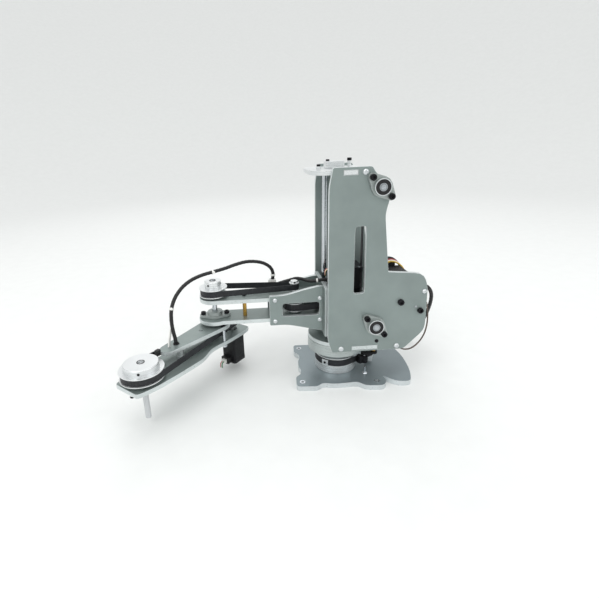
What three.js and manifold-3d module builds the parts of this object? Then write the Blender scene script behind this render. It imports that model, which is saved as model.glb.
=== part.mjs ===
// Desktop robot arm of the SCARA kind: a column that turns on a base plate, a carriage that a belt lifts
// inside the column, an upper arm fixed to the carriage, a forearm on the elbow and a spindle at the wrist.
// Millimetres, +Z up. The origin is on the column's turning axis at the underside of the base plate,
// +X is the way the upper arm reaches, and +Y is the side that shows the column's long slot.
import * as THREE from "three";
import { mergeVertices } from "three/addons/utils/BufferGeometryUtils.js";
import Module from "manifold-3d";

const GAP = 0.3; // clearance between touching pieces
const PLATE = 6; // thickness of every cut plate above the base
const STEP_DEG = 15; // turn between the points of a large arc
const SHAFT_R = 4; // rods and shafts
const BORE_R = SHAFT_R + GAP;

// timing belts
const TOOTH_PITCH = 2;
const BELT_IN = 0.2; // belt's inner surface inside the pitch line
const BELT_OUT = 1.0; // belt's outer surface outside the pitch line
const DRUM_IN = 0.55; // pulley's drum inside the pitch line
const FLANGE_OUT = 1.3; // small pulley's flange outside the pitch line
const pitchRadius = (teeth) => (teeth * TOOTH_PITCH) / (2 * Math.PI);
const PINION = pitchRadius(20);
const HALF_WHEEL = pitchRadius(50);

// base and turntable
const BASE_T = 8;
const BASE_TURN_DEG = -4.8; // the base plate's own X axis against the arm's
const FOOT_HOLE = [57, 53]; // foot holes from the axis, along the base plate's own axes
const RING = pitchRadius(100);
const RING_BELT = [22, 32]; // lowest and highest edge of the turn belt
const DRUM_R = 44.4;
const DRUM_Z = [43.3, 61.7];
const PINION_X = -56; // turn pinion and turn motor
const IDLER_ALONG = 27; // idler's place along the belt's straight run
const IDLER_R = 6;
const STANDOFF_AT = [-57, 21];
const BRACKET_Z = [36, 39.7];

// column
const HALF_OUT = 55; // outer face of a side plate
const HALF_IN = HALF_OUT - PLATE;
const FLOOR_Z = 62; // underside of the column's bottom plate
const ROOF_Z = 319; // underside of the column's top plate
const LIFT_X = -45.3; // both lift shafts
const LIFT_LOW_Z = 101.3;
const LIFT_HIGH_Z = 302.3;
const BOLT_HALF = 18.3; // half the bolt spacing of a diamond flange bearing
const ROD_AT = [13, 30]; // guide rods
const LIFT_MOTOR_AT = [-86, 150]; // X and Z
const DRIVE_BELT_Y = [-73, -65]; // lift drive belt, outside the far plate
const REAR_BAR_AT = [-111.8, 120.8];
const REAR_PLATE = { x: -119, z0: 126, z1: 143, y1: 40, holeZ: 134.5 };

// motors: body side, length, cut corner
const MOTOR_L = { side: 42.3, length: 40, corner: 4.5 };
const MOTOR_S = { side: 28.2, length: 50.7, corner: 2.5 };
const TURN_MOTOR_T = 21.5;

// carriage and upper arm
const CARRIAGE_X = [21, 26];
const ARM_HALF = 21.7; // half width of the arm's top and bottom plates
const ARM_LOW_Z = 100.5;
const ARM_HIGH_Z = 134;
const ELBOW_X = 191.4;
const MIDDLE_X = 66; // middle shaft
const ELBOW_MOTOR_X = -15;
const FIRST_BELT = [114, 124];
const SECOND_BELT = [145, 154];
const BRASS_AT = [144.5, 4];
const ELBOW_PULLEY = pitchRadius(60);

// forearm, along its own axis U from the elbow
const FOREARM_DEG = 50.4; // turn from +X at rest
const REACH = 145; // elbow to wrist
const FORE_LOW_Z = 64;
const FORE_HIGH_Z = 89;
const WRIST_MOTOR_U = -37;
const WRIST_BELT = [77.3, 86.3];
const WRIST_PULLEY = pitchRadius(86);
const SPINDLE_Z = [11, 94];
const TIP_POST_U = 78;

const FINISH = {
  plate: { color: 0x8c9894, roughness: 0.45, metalness: 0.4 },
  base: { color: 0x78828a, roughness: 0.5, metalness: 0.4 },
  aluminium: { color: 0xdfe3e4, roughness: 0.35, metalness: 0.7 },
  steel: { color: 0xc9ced2, roughness: 0.2, metalness: 1 },
  bearing: { color: 0x9aa19f, roughness: 0.4, metalness: 0.7 },
  brass: { color: 0xc08a3c, roughness: 0.35, metalness: 0.9 },
  motor: { color: 0x1c1d1f, roughness: 0.5, metalness: 0.4 },
  black: { color: 0x141416, roughness: 0.6, metalness: 0.1 },
  belt: { color: 0x101011, roughness: 0.85, metalness: 0 },
  cable: { color: 0x121213, roughness: 0.6, metalness: 0 },
  thin_cable: { color: 0x4a423c, roughness: 0.6, metalness: 0 },
};

const solids = await Module();
solids.setup();
const arm = new THREE.Group();
const forearm = new THREE.Group();
forearm.position.x = ELBOW_X;
forearm.rotation.z = THREE.MathUtils.degToRad(FOREARM_DEG);
arm.add(forearm);

// ---- helpers ----

function add(name, geometry, finish, parent = arm) {
  const mesh = new THREE.Mesh(geometry, new THREE.MeshStandardMaterial(FINISH[finish]));
  mesh.name = name;
  parent.add(mesh);
  return mesh;
}

function toSolid(geometry) {
  const loose = geometry.index ? geometry.toNonIndexed() : geometry;
  const bare = new THREE.BufferGeometry();
  bare.setAttribute("position", loose.getAttribute("position"));
  const merged = mergeVertices(bare, 1e-3);
  const vertProperties = merged.attributes.position.array;
  const triVerts = new Uint32Array(merged.index.array);
  return new solids.Manifold(new solids.Mesh({ numProp: 3, vertProperties, triVerts }));
}

function toGeometry(solid) {
  const { vertProperties, triVerts } = solid.getMesh();
  return new THREE.BufferGeometry()
    .setAttribute("position", new THREE.BufferAttribute(vertProperties, 3))
    .setIndex(new THREE.BufferAttribute(triVerts, 1));
}

const join = (first, ...rest) =>
  toGeometry(rest.reduce((made, piece) => made.add(toSolid(piece)), toSolid(first)));

// A closed outline through corners [x, y, r]; r is how much of each edge the rounding takes.
function rounded(corners, Kind = THREE.Shape) {
  const path = new Kind();
  corners.forEach(([x, y, r = 0], i) => {
    const [from, to] = [-1, 1].map((side) => {
      const [nx, ny] = corners[(i + side + corners.length) % corners.length];
      const way = new THREE.Vector2(nx - x, ny - y);
      return way.setLength(Math.min(r, 0.49 * way.length())).add(new THREE.Vector2(x, y));
    });
    if (i) path.lineTo(from.x, from.y);
    else path.moveTo(from.x, from.y);
    if (r) path.quadraticCurveTo(x, y, to.x, to.y);
  });
  return path;
}

const mirrored = (half) => [...half, ...half.map(([x, y, r]) => [x, -y, r]).reverse()];
const box2d = (x0, x1, y0, y1, r = 0) => [
  [x0, y0, r],
  [x1, y0, r],
  [x1, y1, r],
  [x0, y1, r],
];

function circlePoints(x, y, r, sides = 12) {
  return Array.from({ length: sides }, (_, i) => {
    const turn = ((i + 0.5) / sides) * 2 * Math.PI;
    return new THREE.Vector2(x + r * Math.cos(turn), y + r * Math.sin(turn));
  });
}
const hole = (x, y, r, sides) => new THREE.Path(circlePoints(x, y, r, sides));
const slot = (x0, x1, y0, y1, r) => rounded(box2d(x0, x1, y0, y1, r), THREE.Path);

// The taut outline round circles [x, y, r], taken counter-clockwise.
function wrapped(circles, stepDeg = STEP_DEG) {
  const count = circles.length;
  const leaving = circles.map(([x, y, r], i) => {
    const [nx, ny, nr] = circles[(i + 1) % count];
    const way = Math.atan2(ny - y, nx - x);
    return way - Math.PI / 2 + Math.asin((r - nr) / Math.hypot(nx - x, ny - y));
  });
  return circles.flatMap(([x, y, r], i) => {
    const from = leaving[(i + count - 1) % count];
    const turn = THREE.MathUtils.euclideanModulo(leaving[i] - from, 2 * Math.PI);
    const steps = Math.max(1, Math.ceil(turn / THREE.MathUtils.degToRad(stepDeg)));
    return Array.from({ length: steps + 1 }, (_, k) => {
      const at = from + (turn * k) / steps;
      return new THREE.Vector2(x + r * Math.cos(at), y + r * Math.sin(at));
    });
  });
}

function slab(shape, [z0, z1], holes = [], curveSegments = 3) {
  shape.holes.push(...holes);
  const made = new THREE.ExtrudeGeometry(shape, { depth: z1 - z0, bevelEnabled: false, curveSegments });
  return made.translate(0, 0, z0);
}

// Drawn in X and Z with its thickness along -Y from the face at y, or in Y and Z along +X from x.
const faceY = (geometry, y) => geometry.rotateX(Math.PI / 2).translate(0, y, 0);
const faceX = (geometry, x) =>
  geometry
    .rotateX(Math.PI / 2)
    .rotateZ(Math.PI / 2)
    .translate(x, 0, 0);

// A turned piece about Z: [radius, height] points from the bottom upwards, on the outside first.
function turned(profile, sides = 24) {
  const points = profile.map(([r, z]) => new THREE.Vector2(r, z));
  return new THREE.LatheGeometry(points, sides).rotateX(Math.PI / 2);
}
const along = ([x, y], geometry) => geometry.translate(x, y, 0);
const aboutY = (geometry, x, z, flip = 1) => geometry.rotateX((flip * Math.PI) / 2).translate(x, 0, z);

const solidRod = (r, z0, z1, sides = 12) =>
  turned(
    [
      [0, z0],
      [r, z0],
      [r, z1],
      [0, z1],
    ],
    sides,
  );

// A turned piece with a bore: its outside from the bottom upwards, closed through the bore.
function bored(outside, boreR, sides = 24) {
  const top = outside.at(-1)[1];
  const bottom = outside[0][1];
  return turned([[boreR, bottom], ...outside, [boreR, top], [boreR, bottom]], sides);
}

// A toothed pulley's outside: lower flange, drum and upper flange round a belt, then a hub.
function pulleyProfile(pitch, [b0, b1], flangeR, rim = 1) {
  const drum = pitch - DRUM_IN;
  return [
    [flangeR, b0 - 0.5 - rim],
    [flangeR, b0 - 0.5],
    [drum, b0 - 0.5],
    [drum, b1 + 0.5],
    [flangeR, b1 + 0.5],
    [flangeR, b1 + 0.5 + rim],
  ];
}

function beltLoop(pulleys, zs, stepDeg) {
  const outer = pulleys.map(([x, y, pitch]) => [x, y, pitch + BELT_OUT]);
  const inner = pulleys.map(([x, y, pitch]) => [x, y, pitch - BELT_IN]);
  return slab(new THREE.Shape(wrapped(outer, stepDeg)), zs, [new THREE.Path(wrapped(inner, stepDeg))]);
}

function motorBody({ side, corner }, z0, z1) {
  const half = side / 2;
  const cutCorners = [];
  [
    [1, 1],
    [-1, 1],
    [-1, -1],
    [1, -1],
  ].forEach(([sx, sy]) => {
    const pair = [
      [sx * half, sy * (half - corner)],
      [sx * (half - corner), sy * half],
    ];
    cutCorners.push(...(sx * sy > 0 ? pair : pair.reverse()));
  });
  return slab(rounded(cutCorners), [z0, z1]);
}

// Diamond flange bearing on a shaft along Z, foot at z = 0, its bolts along X.
function flangeBearing() {
  const FLANGE_T = 4;
  const HUB = { r: 11.5, top: 9 };
  const outline = wrapped(
    [
      [BOLT_HALF, 0, 5.7],
      [0, 0, 14],
      [-BOLT_HALF, 0, 5.7],
      [0, 0, 14],
    ],
    30,
  );
  const flange = slab(new THREE.Shape(outline), [0, FLANGE_T], [hole(0, 0, BORE_R)]);
  const hub = bored(
    [
      [HUB.r, 0],
      [HUB.r, HUB.top],
    ],
    BORE_R,
  );
  return join(flange, hub);
}

function cord(points, diameter, steps, sides) {
  const path = new THREE.CatmullRomCurve3(points.map((at) => new THREE.Vector3(...at)));
  const section = new THREE.Shape(circlePoints(0, 0, diameter / 2, sides));
  return new THREE.ExtrudeGeometry(section, { steps, extrudePath: path, bevelEnabled: false });
}

// ---- base ----

function base() {
  const half = [
    [61, 10, 6],
    [57.5, 18, 5],
    [58.5, 32, 5],
    [66.5, 38, 6],
    [66.5, 65.3, 7],
    [34, 65.3, 5],
    [27, 56, 8],
    [8, 60, 14],
    [-28, 54.5, 7],
    [-37, 65, 7],
    [-66, 65, 7],
    [-72, 51, 5],
    [-69, 39.5, 2],
    [-87, 55.2, 8],
    [-108, 55.2, 8],
    [-116.5, 24, 22],
  ];
  const [hx, hy] = FOOT_HOLE;
  const holes = [-hx, hx].flatMap((x) => [hole(x, -hy, 2.3), hole(x, hy, 2.3)]);
  const plate = slab(rounded(mirrored(half).reverse()), [0, BASE_T], holes);
  add("base_plate", plate, "base").rotation.z = THREE.MathUtils.degToRad(BASE_TURN_DEG);

  const ringFoot = RING + 0.8;
  const ring = bored(
    [
      [ringFoot, BASE_T + GAP],
      [ringFoot, RING_BELT[0] - 0.6],
      [RING - DRUM_IN, RING_BELT[0] - 0.6],
      [RING - DRUM_IN, RING_BELT[1] + 0.5],
      [ringFoot, RING_BELT[1] + 0.5],
      [ringFoot, RING_BELT[1] + 2],
    ],
    20.3,
    48,
  );
  add("ring_pulley", ring, "aluminium");

  const post = bored(
    [
      [20, BASE_T + GAP],
      [20, DRUM_Z[0]],
      [17, DRUM_Z[0]],
      [17, DRUM_Z[1] - GAP],
    ],
    8,
  );
  add("turntable_post", post, "steel");
}

// ---- column ----

function turntable() {
  const drum = bored(
    [
      [DRUM_R - 1, DRUM_Z[0]],
      [DRUM_R, DRUM_Z[0] + 1],
      [DRUM_R, DRUM_Z[1] - 1],
      [DRUM_R - 1, DRUM_Z[1]],
    ],
    17 + GAP,
    48,
  );
  add("turntable_drum", drum, "plate");
}

function bottomPlate() {
  const tab = [-50.6, -12.6];
  const steps = 8;
  const nose = Array.from({ length: steps + 1 }, (_, i) => {
    const at = (i / steps) * (Math.PI / 2);
    return [44 * Math.cos(at), 44 * Math.sin(at)];
  });
  const half = [
    ...nose,
    [0, HALF_IN - GAP],
    [tab[1], HALF_IN - GAP],
    [tab[1], HALF_OUT],
    [tab[0], HALF_OUT],
    [tab[0], HALF_IN - GAP],
    [-72, HALF_IN - GAP],
    [-90, HALF_IN - GAP, 6],
    [-104, 36, 6],
  ];
  const holes = [hole(PINION_X, 0, 5), hole(0, 0, 10)];
  const plate = slab(rounded(mirrored(half).reverse()), [FLOOR_Z, FLOOR_Z + PLATE], holes);
  add("column_bottom_plate", plate, "plate");
}

function sidePlates() {
  // From the front top corner down and round to the rear edge, then the shoulder behind the motor.
  const front = [
    [19, 329, 2],
    [24, 303, 8],
    [24, 82, 8],
    [17.5, 59.5, 3],
    [-91, 59.5, 5],
    [-118, 86, 8],
    [-121.3, 96, 6],
  ];
  const nearShoulder = [
    [-120.6, 158, 10],
    [-113, 177.5, 12],
  ];
  const farShoulder = [
    [-120.6, 136, 6],
    [-116, 144.5, 6],
    [-108.5, 146, 3],
    [-108, 172, 6],
  ];
  const back = [
    [-61.5, 182.5, 1.5],
    [-53, 266, 9],
    [-59.5, 290, 10],
    [-56.5, 309, 6],
    [-38, 320, 4],
    [-33, 329, 3],
  ];
  const holes = () => [
    slot(-28, -12.5, 152, 250, 4),
    slot(-14 - GAP, 4.8 + GAP, ROOF_Z - GAP, ROOF_Z + PLATE + GAP),
    slot(-50.6 - GAP, -12.6 + GAP, FLOOR_Z - GAP, FLOOR_Z + PLATE + GAP),
    hole(LIFT_X, LIFT_HIGH_Z, 7),
    hole(LIFT_X, LIFT_LOW_Z, 7),
  ];
  const outline = (shoulder) => rounded([...front, ...shoulder, ...back].reverse());
  const near = slab(outline(nearShoulder), [0, PLATE], holes());
  add("near_side_plate", faceY(near, HALF_OUT), "plate");
  const [mx, mz] = LIFT_MOTOR_AT;
  const far = slab(outline(farShoulder), [0, PLATE], [...holes(), hole(mx, mz, 11.5, 16)]);
  add("far_side_plate", faceY(far, -HALF_IN), "plate");
}

function topPlate() {
  const half = [
    [46, 30, 8],
    [34, HALF_IN - GAP, 5],
    [4.8, HALF_IN - GAP],
    [4.8, HALF_OUT],
    [-14, HALF_OUT],
    [-14, HALF_IN - GAP],
    [-35, HALF_IN - GAP, 3],
  ];
  add("column_top_plate", slab(rounded(mirrored(half).reverse()), [ROOF_Z, ROOF_Z + PLATE]), "aluminium");
  const block = slab(rounded(box2d(-7, 19, -11, 11, 2)), [ROOF_Z + PLATE + GAP, ROOF_Z + PLATE + 10]);
  add("top_block", block, "aluminium");
  const foot = ROOF_Z + PLATE + GAP;
  const post = turned(
    [
      [0, foot],
      [2.6, foot],
      [2.6, foot + 9],
      [3.4, foot + 9],
      [3.4, foot + 13.2],
      [0, foot + 13.2],
    ],
    16,
  );
  add("top_post", along([-17, -3], post), "aluminium");
}

function columnBars() {
  const [rx, ry] = ROD_AT;
  const rodZ = [FLOOR_Z + PLATE + GAP, ROOF_Z - GAP];
  add("guide_rod_near", along([rx, ry], solidRod(SHAFT_R, ...rodZ)), "steel");
  add("guide_rod_far", along([rx, -ry], solidRod(SHAFT_R, ...rodZ)), "steel");
  const bar = solidRod(SHAFT_R, -HALF_IN + GAP, HALF_IN - GAP);
  add("rear_cross_bar", aboutY(bar, ...REAR_BAR_AT), "aluminium");
  const { x, z0, z1, y1, holeZ } = REAR_PLATE;
  const rear = slab(rounded(box2d(-HALF_IN + GAP, y1, z0, z1, 3)), [0, PLATE], [
    hole(0, holeZ, 4.5),
  ]);
  add("rear_cross_plate", faceX(rear, x), "plate");
}

function bearings() {
  const places = { lower_lift_bearing: LIFT_LOW_Z, upper_lift_bearing: LIFT_HIGH_Z };
  Object.entries(places).forEach(([name, z]) => {
    const near = flangeBearing().rotateZ(-Math.PI / 4);
    add(name, aboutY(near, LIFT_X, z, -1).translate(0, HALF_OUT + GAP, 0), "bearing");
  });
}

function liftDrive() {
  const shaftEnd = HALF_OUT + 9.5;
  const belt = [-4, 4];
  const drumOnShaft = pulleyProfile(PINION, belt, PINION + FLANGE_OUT);
  const shaft = (end) =>
    turned(
      [
        [0, -shaftEnd],
        [SHAFT_R, -shaftEnd],
        [SHAFT_R, drumOnShaft[0][1]],
        ...drumOnShaft,
        [SHAFT_R, drumOnShaft.at(-1)[1]],
        [SHAFT_R, end],
        [0, end],
      ],
      16,
    );
  add("lower_lift_shaft", aboutY(shaft(-DRIVE_BELT_Y[0] + 4), LIFT_X, LIFT_LOW_Z), "steel");
  add("upper_lift_shaft", aboutY(shaft(shaftEnd), LIFT_X, LIFT_HIGH_Z), "steel");

  // The lift belt stands in the plane of X and Z.
  const loop = beltLoop(
    [
      [LIFT_X, LIFT_LOW_Z, PINION],
      [LIFT_X, LIFT_HIGH_Z, PINION],
    ],
    [-belt[1], -belt[0]],
    30,
  );
  add("lift_belt", faceY(loop, 0), "belt");

  const [mx, mz] = LIFT_MOTOR_AT;
  const [far, near] = DRIVE_BELT_Y.map((y) => -y);
  const motor = motorBody(MOTOR_L, HALF_IN - GAP - MOTOR_L.length, HALF_IN - GAP);
  add("lift_motor", aboutY(motor, mx, mz), "motor");
  const wheelSpan = [near, far];
  const wheel = bored(pulleyProfile(HALF_WHEEL, wheelSpan, HALF_WHEEL + FLANGE_OUT), BORE_R);
  add("lift_wheel", aboutY(wheel, LIFT_X, LIFT_LOW_Z), "aluminium");
  const drum = pulleyProfile(PINION, wheelSpan, PINION + FLANGE_OUT);
  const pinion = turned([[0, HALF_IN], [2.5, HALF_IN], [2.5, drum[0][1]], ...drum, [0, drum.at(-1)[1]]], 16);
  add("lift_motor_pinion", aboutY(pinion, mx, mz), "aluminium");
  const drive = beltLoop(
    [
      [mx, mz, PINION],
      [LIFT_X, LIFT_LOW_Z, HALF_WHEEL],
    ],
    wheelSpan,
  );
  add("lift_drive_belt", faceY(drive, 0), "belt");
}

function turnDrive() {
  const floorTop = FLOOR_Z + PLATE + GAP;
  const motor = motorBody(MOTOR_L, floorTop, floorTop + TURN_MOTOR_T);
  add("turn_motor", along([PINION_X, 0], motor), "motor");
  const drum = pulleyProfile(PINION, RING_BELT, PINION + FLANGE_OUT);
  const top = drum.at(-1)[1];
  const shaft = [
    [0, 12],
    [7, 12],
    [7, RING_BELT[0] - 1.5],
    ...drum,
    [2.5, top],
    [2.5, floorTop - GAP],
    [0, floorTop - GAP],
  ];
  add("turn_pinion", along([PINION_X, 0], turned(shaft, 16)), "aluminium");
  const pulleys = [
    [0, 0, RING],
    [PINION_X, 0, PINION],
  ];
  add("turn_belt", beltLoop(pulleys, RING_BELT), "belt");

  // The idler presses the belt's straight run from outside; normal points out of the run.
  const lean = Math.PI / 2 + Math.asin((RING - PINION) / -PINION_X);
  const normal = new THREE.Vector2(Math.cos(lean), Math.sin(lean));
  const run = new THREE.Vector2(-normal.y, normal.x);
  const idlerAt = normal
    .clone()
    .multiplyScalar(RING + BELT_OUT + GAP + IDLER_R)
    .addScaledVector(run, IDLER_ALONG)
    .toArray();
  const idler = turned(
    [
      [0, RING_BELT[0] - 0.5],
      [IDLER_R, RING_BELT[0] - 0.5],
      [IDLER_R, RING_BELT[1] + 0.5],
      [2.5, RING_BELT[1] + 0.5],
      [2.5, BRACKET_Z[0] - GAP],
      [0, BRACKET_Z[0] - GAP],
    ],
    16,
  );
  add("turn_idler", along(idlerAt, idler), "black");
  const bracket = slab(
    new THREE.Shape(
      wrapped(
        [
          [PINION_X, 0, 7],
          [...idlerAt, 5.5],
          [...STANDOFF_AT, 6],
        ],
        30,
      ),
    ),
    BRACKET_Z,
    [hole(PINION_X, 0, 2.5 + GAP)],
  );
  add("idler_bracket", bracket, "black");
}

// ---- carriage and upper arm ----

function carriage() {
  const window = slot(-20.3, 20.3, 108, 141, 2);
  const plate = slab(rounded(box2d(-44, 44, 80, 158, 4)), [0, CARRIAGE_X[1] - CARRIAGE_X[0]], [window]);
  add("carriage_plate", faceX(plate, CARRIAGE_X[0]), "plate");
  const [rx, ry] = ROD_AT;
  const block = (y) =>
    slab(rounded(box2d(rx - 9.5, CARRIAGE_X[0] - GAP, y - 9, y + 9, 1.5)), [95, 138], [hole(rx, y, BORE_R)]);
  add("linear_bearing_near", block(ry), "aluminium");
  add("linear_bearing_far", block(-ry), "aluminium");

  const clampX = [-42.5, -36.8];
  const front = LIFT_X + PINION;
  const grip = slab(
    rounded(box2d(...clampX, -9, 9, 1)),
    [ARM_HIGH_Z - 5, ARM_HIGH_Z + PLATE],
    [slot(front - BELT_IN - GAP, front + BELT_OUT + GAP, -4.6, 4.6)],
  );
  add("lift_belt_clamp", grip, "aluminium");
}

function upperArm() {
  const frontX = CARRIAGE_X[1] + GAP;
  // The round head at the elbow, which the arm's straight sides run into.
  const head = (r, steps = 14) =>
    Array.from({ length: steps + 1 }, (_, i) => {
      const at = (Math.PI - Math.asin(ARM_HALF / r)) * ((2 * i) / steps - 1);
      return [ELBOW_X + r * Math.cos(at), r * Math.sin(at)];
    });
  const root = [
    [frontX, ARM_HALF],
    [frontX, -ARM_HALF],
  ];
  const lowHoles = [hole(ELBOW_X, 0, BORE_R), hole(MIDDLE_X, 0, BORE_R)];
  const low = slab(rounded([...root, ...head(25)]), [ARM_LOW_Z, ARM_LOW_Z + PLATE], lowHoles);
  add("arm_bottom_plate", low, "plate");

  const tail = 19.9; // half width of the part that passes through the carriage plate's window
  const behind = [
    [frontX, ARM_HALF],
    [frontX, tail],
    [-36.5, tail],
    [-36.5, -tail],
    [frontX, -tail],
    [frontX, -ARM_HALF],
  ];
  const highHoles = [hole(ELBOW_X, 0, BORE_R), hole(MIDDLE_X, 0, BORE_R), hole(ELBOW_MOTOR_X, 0, 7)];
  const high = slab(rounded([...behind, ...head(ARM_HALF)]), [ARM_HIGH_Z, ARM_HIGH_Z + PLATE], highHoles);
  add("arm_top_plate", high, "plate");

  const side = [
    [frontX, 84],
    [53, 90.7, 10],
    [80, 97.3, 10],
    [107, 97.3, 2],
    [107, 145, 2],
    [84, 145, 10],
    [50, 153.5, 12],
    [33, 157, 3],
    [frontX, 157],
  ];
  const window = () => slot(31, 87.6, 111, 132, 5);
  const cheek = () => slab(rounded(side), [0, PLATE], [window()]);
  const inner = ARM_HALF + GAP;
  add("arm_side_near", faceY(cheek(), inner + PLATE), "plate");
  add("arm_side_far", faceY(cheek(), -inner), "plate");
  const brass = solidRod(3.4, ARM_LOW_Z + PLATE + GAP, ARM_HIGH_Z - GAP, 6);
  add("arm_standoff", along(BRASS_AT, brass), "brass");
}

function elbowDrive() {
  const roof = ARM_HIGH_Z + PLATE;
  const motor = motorBody(MOTOR_L, roof + GAP, roof + GAP + MOTOR_L.length);
  add("elbow_motor", along([ELBOW_MOTOR_X, 0], motor), "motor");
  const drum = pulleyProfile(PINION, FIRST_BELT, PINION + FLANGE_OUT);
  const pinion = turned(
    [
      [0, drum[0][1]],
      ...drum,
      [6.5, drum.at(-1)[1]],
      [6.5, ARM_HIGH_Z - 2],
      [2.5, ARM_HIGH_Z - 2],
      [2.5, roof],
      [0, roof],
    ],
    16,
  );
  add("elbow_motor_pinion", along([ELBOW_MOTOR_X, 0], pinion), "aluminium");

  const small = pulleyProfile(PINION, SECOND_BELT, PINION + FLANGE_OUT);
  const middle = turned(
    [
      [0, ARM_LOW_Z + GAP],
      [SHAFT_R, ARM_LOW_Z + GAP],
      [SHAFT_R, small[0][1]],
      ...small,
      [5.5, small.at(-1)[1]],
      [5.5, 158.5],
      [0, 158.5],
    ],
    16,
  );
  add("middle_shaft", along([MIDDLE_X, 0], middle), "aluminium");
  const bigProfile = pulleyProfile(HALF_WHEEL, FIRST_BELT, HALF_WHEEL + FLANGE_OUT);
  const big = bored([[9, 107.5], [9, bigProfile[0][1]], ...bigProfile], BORE_R);
  add("middle_pulley", along([MIDDLE_X, 0], big), "aluminium");
  const first = [
    [ELBOW_MOTOR_X, 0, PINION],
    [MIDDLE_X, 0, HALF_WHEEL],
  ];
  const second = [
    [MIDDLE_X, 0, PINION],
    [ELBOW_X, 0, ELBOW_PULLEY],
  ];
  add("first_elbow_belt", beltLoop(first, FIRST_BELT), "belt");
  add("second_elbow_belt", beltLoop(second, SECOND_BELT), "belt");

  const low = flangeBearing().translate(ELBOW_X, 0, ARM_LOW_Z + PLATE + GAP);
  add("elbow_bearing_lower", low, "bearing");
}

// ---- forearm, in its own turned frame ----

function forearmFrame() {
  const tip = 98.5;
  const high = wrapped([
    [0, 0, 22],
    [tip, 0, 11.5],
  ]);
  const highHoles = [hole(0, 0, BORE_R), hole(33, 0, 3.5), hole(83.2, 0, 3.4)];
  const top = slab(new THREE.Shape(high), [FORE_HIGH_Z, FORE_HIGH_Z + PLATE], highHoles);
  add("forearm_top_plate", top, "plate", forearm);
  const half = [
    [-57, 20.5, 5],
    [-42, 23, 5],
    [0, 23, 12],
    [34, 19.5, 12],
    [60, 30.5, 12],
    [112, 30.5, 12],
    [142, 29, 6],
    [160, 26, 6],
    [172.5, 22.5, 4],
  ].reverse();
  const lowHoles = [hole(0, 0, BORE_R), hole(REACH, 0, 9.4), hole(WRIST_MOTOR_U, 0, 8.5, 16)];
  const bottom = slab(rounded(mirrored(half).reverse()), [FORE_LOW_Z, FORE_LOW_Z + PLATE], lowHoles);
  add("forearm_bottom_plate", bottom, "plate", forearm);
  const between = [FORE_LOW_Z + PLATE + GAP, FORE_HIGH_Z - GAP];
  add("forearm_tip_post", along([TIP_POST_U, 0], solidRod(5, ...between)), "aluminium", forearm);
}

function elbowShaft() {
  const collar = [FORE_HIGH_Z + PLATE + GAP, ARM_LOW_Z - GAP];
  const shaft = turned(
    [
      [0, FORE_LOW_Z - 1.5],
      [SHAFT_R, FORE_LOW_Z - 1.5],
      [SHAFT_R, collar[0]],
      [9, collar[0]],
      [9, collar[1]],
      [SHAFT_R, collar[1]],
      [SHAFT_R, 164.5],
      [0, 164.5],
    ],
    16,
  );
  add("elbow_shaft", shaft, "steel", forearm);
  const rim = pulleyProfile(ELBOW_PULLEY, SECOND_BELT, 21.7, 1.2);
  const hub = [
    [12.5, rim.at(-1)[1]],
    [12.5, 165.2],
    [11.7, 166],
  ];
  add("elbow_pulley", bored([...rim, ...hub], BORE_R, 40), "aluminium", forearm);
}

function wristDrive() {
  const motor = motorBody(MOTOR_S, FORE_LOW_Z - GAP - MOTOR_S.length, FORE_LOW_Z - GAP);
  add("wrist_motor", along([WRIST_MOTOR_U, 0], motor), "motor", forearm);
  const pitch = pitchRadius(25);
  const drum = pulleyProfile(pitch, WRIST_BELT, pitch + FLANGE_OUT, 0.8);
  const shaft = [
    [0, FORE_LOW_Z],
    [2.5, FORE_LOW_Z],
    [2.5, drum[0][1]],
  ];
  const pinion = turned([...shaft, ...drum, [0, drum.at(-1)[1]]], 16);
  add("wrist_motor_pinion", along([WRIST_MOTOR_U, 0], pinion), "aluminium", forearm);
  const pulleys = [
    [WRIST_MOTOR_U, 0, pitch],
    [REACH, 0, WRIST_PULLEY],
  ];
  add("wrist_belt", beltLoop(pulleys, WRIST_BELT), "belt", forearm);
  const bearing = bored(
    [
      [8.7, FORE_LOW_Z],
      [8.7, FORE_LOW_Z + PLATE + GAP],
      [13, FORE_LOW_Z + PLATE + GAP],
      [13, FORE_LOW_Z + PLATE + 3.8],
    ],
    BORE_R,
  );
  add("wrist_bearing", along([REACH, 0], bearing), "bearing", forearm);
}

function wrist() {
  const rim = pulleyProfile(WRIST_PULLEY, WRIST_BELT, 30, 1.2);
  const hub = [
    [23.7, rim.at(-1)[1]],
    [23.7, 95.5],
    [22.7, 96.5],
  ];
  add("wrist_pulley", along([REACH, 0], bored([...rim, ...hub], BORE_R, 48)), "aluminium", forearm);
  const [z0, z1] = SPINDLE_Z;
  const collarTop = FORE_LOW_Z - GAP;
  const spindle = turned(
    [
      [0, z0],
      [3.4, z0],
      [SHAFT_R, z0 + 0.6],
      [SHAFT_R, collarTop - 6],
      [7, collarTop - 6],
      [7, collarTop],
      [SHAFT_R, collarTop],
      [SHAFT_R, z1],
      [0, z1],
    ],
    16,
  );
  add("wrist_spindle", along([REACH, 0], spindle), "aluminium", forearm);
}

// ---- cables ----

// The wrapped cable rises from its clip on the arm's far cheek and drops into the forearm's top plate.
const ARM_CABLE = [
  [97.5, -25, 154.3],
  [96.5, -25.2, 164],
  [100, -26, 173],
  [109.5, -26.2, 180.5],
  [122, -25.2, 184.6],
  [138, -22, 186.3],
  [155, -16.5, 184.3],
  [172, -9, 181.2],
  [190, 0, 179.4],
  [207, 10, 178],
  [222, 20.5, 174.3],
  [234, 32, 167.5],
  [243, 44, 157],
  [247.6, 53, 144.5],
  [248.4, 59, 130.5],
  [247.3, 62.4, 116.5],
  [245.2, 64, 104],
  [244.43, 64.1, 95.3],
];
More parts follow.
